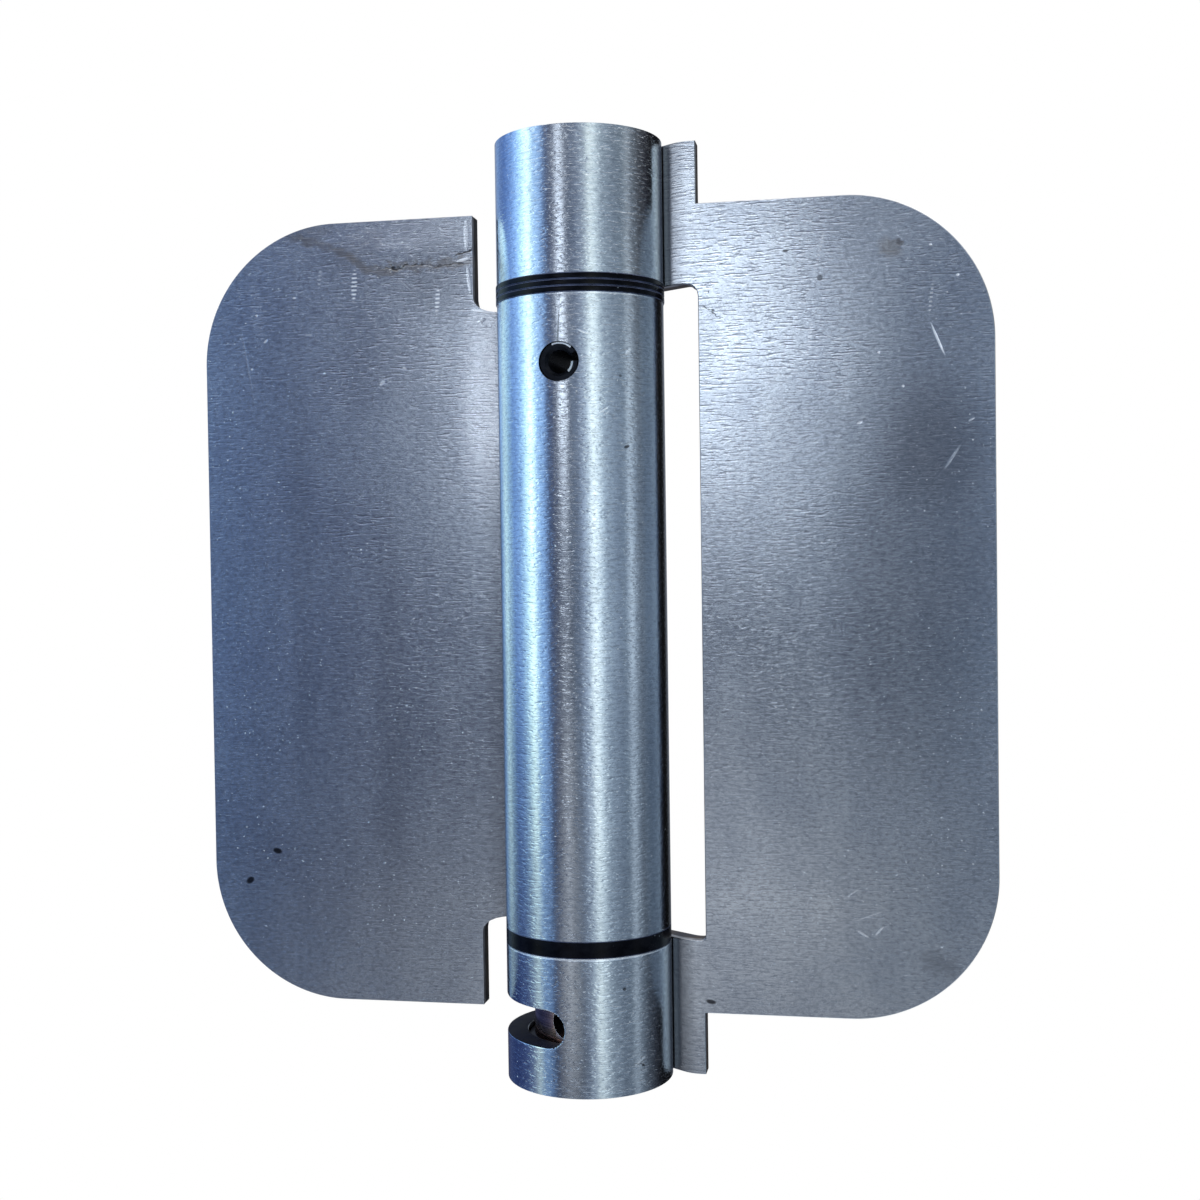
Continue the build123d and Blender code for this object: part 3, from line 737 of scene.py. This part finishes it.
def makeLeaves():
    edgeSteel = shearedSteel()
    windowStation = leafReach - leafSizes["windowReach"]
    earStation = leafReach - leafSizes["earReach"]
    notchStation = leafReach - leafSizes["notchReach"]
    corner = leafSizes["cornerRadius"]

    frameBlank = blank([
        (0, -leafTop, corner), (earStation, -leafTop, 0), (earStation, barrelBottom, 0),
        (endStation, barrelBottom, 0), (endStation, lowerKnuckleTop, 0),
        (windowStation, lowerKnuckleTop, leafSizes["windowLowerRadius"]),
        (windowStation, upperKnuckleBottom, leafSizes["windowUpperRadius"]),
        (endStation, upperKnuckleBottom, 0), (endStation, barrelTop, 0),
        (earStation, barrelTop, 0), (earStation, leafTop, 0), (0, leafTop, corner)])
    endHalfAngle = degrees(asin(leafSizes["slotHeight"] / 2 / outerRadius))
    sweep = leafSizes["slotHalfSweep"] - endHalfAngle
    slotCutter = holeCutter((180 - sweep, 180 + sweep), slotLevel, leafSizes["slotHeight"] / 2)
    frameBlank = cutWith(frameBlank, slotCutter)
    # The slot's cut faces inside the barrel are painted shade: near-black.
    slotShade = blackFinish("slotShade", (0.003, 0.004, 0.011), 0.50, 0.0, 0.2)
    frontSteel = brushedSteel("frameLeafSteel", frameMarks, -4.25, 0.4, 0.80)
    leaf = meshObject("frameLeaf", rollUp(frameBlank, 1), [frontSteel, edgeSteel, slotShade],
                      "frame", "frame_leaf")
    trueRound(leaf.data)

    doorBlank = blank([
        (0, -leafTop, corner), (notchStation, -leafTop, 0),
        (notchStation, middleKnuckleBottom, leafSizes["notchRadius"]),
        (endStation, middleKnuckleBottom, 0), (endStation, middleKnuckleTop, 0),
        (notchStation, middleKnuckleTop, leafSizes["notchRadius"]),
        (notchStation, leafTop, 0), (0, leafTop, corner)])
    for angle in (540 - leafSizes["pinAngle"], 360 - leafSizes["pinAngle"]):
        doorBlank = cutWith(doorBlank, holeCutter((angle, angle), pinLevel, leafSizes["pinRadius"]))
    frontSteel = brushedSteel("doorLeafSteel", doorMarks, -2.6, 2.2, 0.35)
    leaf = meshObject("doorLeaf", rollUp(doorBlank, -1), [frontSteel, edgeSteel],
                      "door", "door_leaf")
    trueRound(leaf.data)
    print("leaves made")


# Washers

washerSizes = {"holeRadius": 4.06, "rimBevel": 0.10}


def makeWashers():
    black = blackFinish("washerBlack", (0.001, 0.0012, 0.0026), 0.20, 0.0, 0.8)
    # The rim bevels take a paler material: a painted highlight along each washer's rims.
    paler = blackFinish("washerRimHighlight", (0.05, 0.06, 0.10), 0.30, 0.5, 0.8)
    for node in ("upper_washer_top", "upper_washer_middle", "upper_washer_bottom", "lower_washer"):
        low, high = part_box(node)
        hole = boreRadius if node == "lower_washer" else washerSizes["holeRadius"]
        bm = ring(hole * mm, high.x, low.z, high.z)
        bevelSharp(bm, washerSizes["rimBevel"] * mm, 3, material=1)
        words = node.split("_")
        name = words[0] + "".join(word.capitalize() for word in words[1:])
        meshObject(name, bm, [black, paler], "frame", node)
    print("washers made")


# Plugs, spindle and cap

plugSizes = {
    "topHoleRadius": 4.02,
    "topBevel": 0.25,
    "spindleBevel": 0.4,
    "capBevel": 0.45,
    "waistRadius": 7.0,
    "waistMargin": 0.6,
    "toolHoleRadius": 2.1,
    "toolHoleDepth": 3.8,
    "toolHoleAngle": 258.0,
    "mouthBevel": 0.5,
    "palerDepth": (0.1, 0.7),
    "darkenedDepth": 2.4,
    "noseRadius": 3.9,
    "noseLength": 3.6,
    "tangSlot": 2.55,
    "tensionBevel": 0.2,
}


def makePlugs():
    plugSteel = turnedSteel("plugSteel", (0.60, 0.38, 0.32), (0.20, 0.12, 0.10), 0.20)
    # Near-black for the painted shade deep in the tool holes, and pale for their mouths' painted
    # highlight.
    plugDarkened = blackFinish("plugDarkened", (0.003, 0.003, 0.007), 0.34, 0.2, 0.2)
    plugHighlight = turnedSteel("plugHighlight", (0.94, 0.94, 0.96), (0.80, 0.80, 0.84), 0.42,
                             metallic=0.3)
    spindleSteel = turnedSteel("spindleSteel", (0.55, 0.55, 0.56), (0.36, 0.36, 0.37), 0.28)
    capSteel = turnedSteel("capSteel", (0.48, 0.50, 0.53), (0.30, 0.31, 0.33), 0.34)

    low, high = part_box("top_plug")
    bm = ring(plugSizes["topHoleRadius"] * mm, high.x, low.z, high.z)
    bevelSharp(bm, plugSizes["topBevel"] * mm, 3)
    meshObject("topPlug", bm, [capSteel], "frame", "top_plug")

    low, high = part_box("spindle")
    bm = lathe([(0, low.z), (high.x, low.z), (high.x, high.z), (0, high.z)], 72)
    bevelSharp(bm, plugSizes["spindleBevel"] * mm, 3)
    meshObject("spindlePin", bm, [spindleSteel], "frame", "spindle")

    low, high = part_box("bottom_cap")
    bm = lathe([(0, low.z), (high.x, low.z), (high.x, high.z), (0, high.z)])
    bevelSharp(bm, plugSizes["capBevel"] * mm, 4)
    meshObject("bottomButton", bm, [capSteel], "frame", "bottom_cap")

    low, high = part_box("tension_plug")
    noseBottom = high.z - plugSizes["noseLength"] * mm
    noseRadius, waist = plugSizes["noseRadius"] * mm, plugSizes["waistRadius"] * mm
    toolRadius = plugSizes["toolHoleRadius"] * mm
    half = (leafSizes["slotHeight"] / 2 + plugSizes["waistMargin"]) * mm
    level = slotLevel * mm
    bm = lathe([(0, low.z), (high.x, low.z), (high.x, level - half), (waist, level - half),
                (waist, level + half), (high.x, level + half), (high.x, noseBottom),
                (noseRadius, noseBottom), (noseRadius, high.z), (0, high.z)])
    bevelSharp(bm, plugSizes["tensionBevel"] * mm, 2)
    drillLength = 10 * mm
    for index in range(4):
        drill = bmesh.new()
        bmesh.ops.create_cone(drill, cap_ends=True, segments=40, depth=drillLength,
                              radius1=toolRadius, radius2=toolRadius)
        reach = waist - plugSizes["toolHoleDepth"] * mm + drillLength / 2
        bmesh.ops.transform(drill, verts=drill.verts, matrix=radialMatrix(
            plugSizes["toolHoleAngle"] + 90 * index, level) @ Matrix.Translation((0, 0, reach)))
        bm = cutWith(bm, drill)

    def onHoleMouth(edge):
        return all((vert.co.xy.length > waist - 0.9 * mm
                    and abs(vert.co.z - level) < toolRadius + 0.05 * mm) for vert in edge.verts)

    # The tool holes' mouths and the first of their walls are pale: a painted highlight. Deeper in,
    # the walls are near-black: painted shade. The plug's flat faces are darkened too.
    darkened, paler = 1, 2
    bevelSharp(bm, plugSizes["mouthBevel"] * mm, 3, angle=30, where=onHoleMouth, material=paler)
    palerTop, palerEnd = (reach * mm for reach in plugSizes["palerDepth"])
    for face in bm.faces:
        middle = face.calc_center_median()
        depth = waist - middle.xy.length
        if (abs(middle.z - level) < toolRadius
                and palerTop < depth < plugSizes["darkenedDepth"] * mm):
            face.material_index = darkened if depth > palerEnd else paler
        elif abs(face.normal.z) > 0.7:
            face.material_index = darkened
    slot = bmesh.new()
    bmesh.ops.create_cube(slot, size=1, matrix=Matrix.LocRotScale(
        (0, 0, high.z), None, (3 * high.x, plugSizes["tangSlot"] * mm,
                               2 * plugSizes["noseLength"] * mm)))
    bm = cutWith(bm, slot)
    meshObject("tensionPlug", bm, [plugSteel, plugDarkened, plugHighlight], "tension", "tension_plug")
    print("plugs made")


# Roll pin

pinSizes = {
    "wall": 0.95,
    "slit": 1.25,
    "slitAngle": 15.0,
    "endInset": 0.35,
    "endChamfer": 0.36,
    "rimWidth": 0.26,
    "rimBevel": 0.06,
    "turnSteps": 56,
}


def makePin():
    black = blackFinish("pinBlack", (0.006, 0.007, 0.010), 0.28, 0.4, 0.3)
    # Pale steel for the painted highlights on the ends' rim and chamfer.
    paler = turnedSteel("pinHighlight", (0.90, 0.93, 0.97), (0.60, 0.62, 0.66), 0.35, metallic=0.3)
    low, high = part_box("roll_pin")
    radius = (high.z - low.z) / 2
    inside, rim = radius - pinSizes["wall"] * mm, radius - pinSizes["rimWidth"] * mm
    chamfer, bevel = pinSizes["endChamfer"] * mm, pinSizes["rimBevel"] * mm
    reach = (outerRadius - pinSizes["endInset"]) * mm
    halfSlit = degrees(pinSizes["slit"] * mm / (2 * radius))
    bm = bmesh.new()
    end = [(inside, reach - chamfer), (inside + chamfer, reach), (rim, reach),
           (radius - bevel, reach), (radius, reach - bevel)]
    verts = [bm.verts.new((r, 0, z)) for r, z in end + [(r, -z) for r, z in reversed(end)]]
    face = bm.faces.new(verts)
    bmesh.ops.spin(bm, geom=[face], cent=(0, 0, 0), axis=(0, 0, 1), use_duplicate=False,
                   angle=radians(360 - 2 * halfSlit), steps=pinSizes["turnSteps"])
    turn = radians(pinSizes["slitAngle"] - 90 + halfSlit)
    bmesh.ops.rotate(bm, verts=bm.verts, cent=(0, 0, 0), matrix=Matrix.Rotation(turn, 3, "Z"))
    bmesh.ops.recalc_face_normals(bm, faces=bm.faces)
    # Where the ends carry painted highlights, in degrees round the pin
    for face in bm.faces:
        middle = face.calc_center_median()
        clock = degrees(atan2(middle.x, -middle.y))
        onEnd = abs(middle.z) > reach - chamfer
        onRim = onEnd and middle.xy.length > rim and 50 < clock < 115
        onChamfer = onEnd and middle.xy.length < inside + chamfer and -50 < clock < 12
        if onRim or onChamfer:
            face.material_index = 1
    bmesh.ops.transform(bm, verts=bm.verts,
                        matrix=radialMatrix(leafSizes["pinAngle"], pinLevel * mm))
    meshObject("rollPin", bm, [black, paler], "door", "roll_pin")
    print("pin made")


# Inner pieces

springSizes = {
    "wire": 2.4,
    "wireBevel": 0.2,
    "meanRadius": 5.6,
    "turnGap": 0.4,
    "turnSteps": 40,
    "tangReach": 3.4,
    "tangInset": 0.2,
}
bushSizes = {"holeRadius": 4.06, "bevel": 0.2}


def makeInside():
    low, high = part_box("torsion_spring")
    wire = springSizes["wire"] * mm
    radius = springSizes["meanRadius"] * mm
    rise = high.z - low.z - wire
    turns = int(rise / (wire + springSizes["turnGap"] * mm))
    steps = turns * springSizes["turnSteps"]
    springSteel = turnedSteel("springSteel", (0.24, 0.25, 0.27), (0.10, 0.10, 0.11), 0.36, 900)
    bm = bmesh.new()
    face = bm.faces.new([bm.verts.new((radius + x * wire / 2, 0, low.z + wire / 2 + z * wire / 2))
                         for x, z in ((-1, -1), (1, -1), (1, 1), (-1, 1))])
    bmesh.ops.spin(bm, geom=[face], cent=(0, 0, 0), axis=(0, 0, 1), dvec=(0, 0, rise / steps),
                   angle=-2 * pi * turns, steps=steps, use_duplicate=False)
    left, right = -springSizes["tangReach"] * mm, radius
    tang = (right - left, wire, wire - springSizes["tangInset"] * mm)
    for level in (low.z + wire / 2, high.z - wire / 2):
        bmesh.ops.create_cube(bm, size=1, matrix=Matrix.LocRotScale(
            ((left + right) / 2, 0, level), None, tang))
    bmesh.ops.recalc_face_normals(bm, faces=bm.faces)
    bevelSharp(bm, springSizes["wireBevel"] * mm, 1)
    meshObject("torsionSpring", bm, [springSteel], "door", "torsion_spring")

    brass = turnedSteel("bushBrass", (0.60, 0.44, 0.20), (0.40, 0.27, 0.11), 0.3)
    low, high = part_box("spindle_bush")
    bm = ring(bushSizes["holeRadius"] * mm, high.x, low.z, high.z)
    bevelSharp(bm, bushSizes["bevel"] * mm, 2)
    meshObject("spindleBush", bm, [brass], "door", "spindle_bush")

    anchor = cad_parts["anchor_plug"]
    anchorSteel = turnedSteel("anchorSteel", (0.42, 0.42, 0.43), (0.22, 0.22, 0.23), 0.34)
    anchor.data.materials[0] = anchorSteel
    print("inner pieces made")


# Studio

# Light from all round the hinge. Azimuths run to the right from the camera's side and elevations
# upwards, in degrees. The cards lie over the light from the horizon: azimuth, elevation, half
# width, half height, lean and colour.
studio = {
    "radius": 0.62,
    "floorLevel": -0.36,
    "floorRadius": 0.48,
    "paper": ((0.90, 0.90, 0.90), (0.94, 0.94, 0.94)),
    "overhead": (1.30, 1.32, 1.36),
    "overheadRise": (24, 46),
    "below": (0.50, 0.52, 0.56),
    "belowFall": (-28, -50),
    "aboveRise": (7, 12),
    "lowShares": ((0.15, 0.13, 0.19), (0.46, 0.46, 0.46)),
    "lowTurn": (-75, -40),
    "lowFall": (-18, 2),
    "horizon": (
        (-180, (0.30, 0.33, 0.38)), (-165, (0.30, 0.35, 0.42)), (-150, (0.36, 0.45, 0.62)),
        (-134, (0.37, 0.64, 1.10)), (-112, (0.19, 0.38, 0.85)), (-97, (0.28, 0.52, 1.04)),
        (-84, (0.42, 0.74, 1.28)), (-73, (0.95, 1.50, 1.85)), (-62, (2.40, 3.10, 2.80)),
        (-54, (0.66, 1.10, 1.70)), (-42, (0.40, 0.68, 1.20)), (-36, (0.10, 0.15, 0.30)),
        (-28, (0.12, 0.148, 0.235)), (-24, (0.15, 0.175, 0.25)), (-5, (0.15, 0.18, 0.24)),
        (-1, (0.20, 0.26, 0.36)), (4, (0.20, 0.26, 0.37)), (11, (0.50, 0.62, 0.82)),
        (19, (0.90, 1.10, 1.32)), (26, (2.30, 2.60, 2.60)), (32, (1.50, 1.78, 1.95)),
        (41, (0.62, 0.78, 0.95)), (60, (0.36, 0.46, 0.60)), (71, (0.32, 0.42, 0.54)),
        (79, (1.05, 1.24, 1.42)), (87, (0.40, 0.50, 0.62)), (99, (0.18, 0.22, 0.28)),
        (113, (0.07, 0.08, 0.11)), (125, (0.008, 0.008, 0.010)), (158, (0.008, 0.008, 0.008)),
        (171, (0.22, 0.24, 0.28)), (180, (0.30, 0.33, 0.38)),
    ),
    # The share of it that is left above, where the top knuckle mirrors it.
    "above": (
        (-180, (1, 1, 1)), (-120, (0.7, 0.65, 0.7)), (-80, (1.4, 1.4, 1.4)),
        (-60, (0.75, 0.75, 0.8)), (-48, (1.3, 1.2, 1.1)), (-38, (1.1, 1.05, 1.0)),
        (-20, (1.2, 1.15, 1.1)), (0, (1.05, 1.0, 1.0)), (15, (0.60, 0.58, 0.55)),
        (32, (0.72, 0.70, 0.66)), (67, (0.75, 0.72, 0.66)), (80, (0.50, 0.47, 0.44)),
        (110, (0.60, 0.52, 0.45)), (135, (1, 1, 1)), (180, (1, 1, 1)),
    ),
    "cardSharpness": 1.5,
    "cards": (
        (-15, 13, 5.5, 7.4, 0.2, (2.60, 2.80, 3.00)),
        (-15, 12, 11, 8.2, 0.2, (0.14, 0.17, 0.21)),
        (-14, -18, 16, 8, 0.0, (0.42, 0.43, 0.44)),
        (-14, -13, 4, 5, 0.0, (0.40, 0.42, 0.44)),
    ),
}


def makeStudio():
    world = bpy.data.worlds.new("studioWorld")
    world.use_nodes = True
    nodes = Nodes(world.node_tree)
    background = nodes.add("ShaderNodeBackground", {"Color": (1, 1, 1), "Strength": 1.0})
    output = nodes.add("ShaderNodeOutputWorld")
    world.node_tree.links.new(background.outputs[0], output.inputs["Surface"])
    scene.world = world

    material, nodes = newMaterial("tentLight")
    axes = nodes.add("ShaderNodeSeparateXYZ", {"Vector": nodes.place()})
    back = nodes.math("MULTIPLY", axes.outputs["Y"], -1.0)
    azimuth = nodes.math("DEGREES", nodes.math("ARCTAN2", axes.outputs["X"], back))
    elevation = nodes.math("DEGREES", nodes.math("ARCSINE", nodes.math(
        "DIVIDE", axes.outputs["Z"], studio["radius"])))
    ramps = []
    for colours in (studio["horizon"], studio["above"]):
        ramp = nodes.add("ShaderNodeValToRGB", {"Fac": nodes.span(azimuth, -180, 180)})
        stops = ramp.color_ramp.elements
        for index, (stopAzimuth, colour) in enumerate(colours):
            position = (stopAzimuth + 180) / 360
            stop = stops[index] if index < 2 else stops.new(position)
            stop.position = position
            stop.color = (*colour, 1)
        ramps.append(ramp.outputs["Color"])
    horizon, above = ramps
    above = nodes.blend(nodes.span(elevation, *studio["aboveRise"]), (1, 1, 1), above)
    low = nodes.blend(nodes.span(azimuth, *studio["lowTurn"]), *studio["lowShares"])
    low = nodes.blend(nodes.span(elevation, *studio["lowFall"]), low, (1, 1, 1))
    light = nodes.blend(1.0, nodes.blend(1.0, horizon, above, "MULTIPLY"), low, "MULTIPLY")
    for cardAzimuth, cardElevation, halfWidth, halfHeight, lean, colour in studio["cards"]:
        upward = nodes.math("SUBTRACT", elevation, float(cardElevation))
        across = nodes.math("ADD", nodes.math("SUBTRACT", azimuth, float(cardAzimuth)),
                            nodes.math("MULTIPLY", upward, lean))
        across = nodes.math("POWER", nodes.math("DIVIDE", across, float(halfWidth)), 2.0)
        upward = nodes.math("POWER", nodes.math("DIVIDE", upward, float(halfHeight)), 2.0)
        reach = nodes.math("POWER", nodes.math("ADD", across, upward), studio["cardSharpness"])
        glow = nodes.math("EXPONENT", nodes.math("MULTIPLY", reach, -1.0))
        light = nodes.blend(glow, light, nodes.blend(1.0, light, colour, "ADD"))
    for reach, colour in (("overheadRise", "overhead"), ("belowFall", "below")):
        share = nodes.span(elevation, *studio[reach], smooth=True)
        light = nodes.blend(share, light, studio[colour])
    emission = nodes.add("ShaderNodeEmission", {"Color": light, "Strength": 1.0})
    nodes.surface(emission.outputs[0])

    bm = bmesh.new()
    bmesh.ops.create_uvsphere(bm, u_segments=96, v_segments=48, radius=studio["radius"])
    bmesh.ops.reverse_faces(bm, faces=bm.faces)
    tent = newObject("studioTent", bm, material)
    tent.data.shade_smooth()
    tent.visible_camera = False
    tent.visible_shadow = False

    material, nodes = newMaterial("floorPaper")
    fibre = nodes.noise(nodes.place(), (60, 60, 60), detail=4)
    colour = nodes.blend(nodes.span(fibre, 0.3, 0.7), *studio["paper"])
    nodes.principled({"Base Color": colour, "Roughness": 0.9})
    bm = bmesh.new()
    bmesh.ops.create_circle(bm, cap_ends=True, segments=96, radius=studio["floorRadius"])
    floor = newObject("studioFloor", bm, material)
    floor.location.z = studio["floorLevel"]
    print("studio made")


# Camera

cameraSettings = {
    "place": (38.6, -193.1, 6.1),
    "turn": (88.65, 0.79, 10.71),
    "lens": 46.7,
    "sensorWidth": 36,
    "clipStart": 0.005,
}


def makeCamera():
    data = bpy.data.cameras.new("camera")
    data.lens = cameraSettings["lens"]
    data.sensor_width = cameraSettings["sensorWidth"]
    data.clip_start = cameraSettings["clipStart"]
    camera = bpy.data.objects.new("camera", data)
    camera.location = Vector(cameraSettings["place"]) * mm
    camera.rotation_euler = [radians(angle) for angle in cameraSettings["turn"]]
    scene.collection.objects.link(camera)
    scene.camera = camera
    print("camera made")


makeLeaves()
makeWashers()
makePlugs()
makePin()
makeInside()
makeStudio()
makeCamera()
scene.view_settings.view_transform = "Standard"
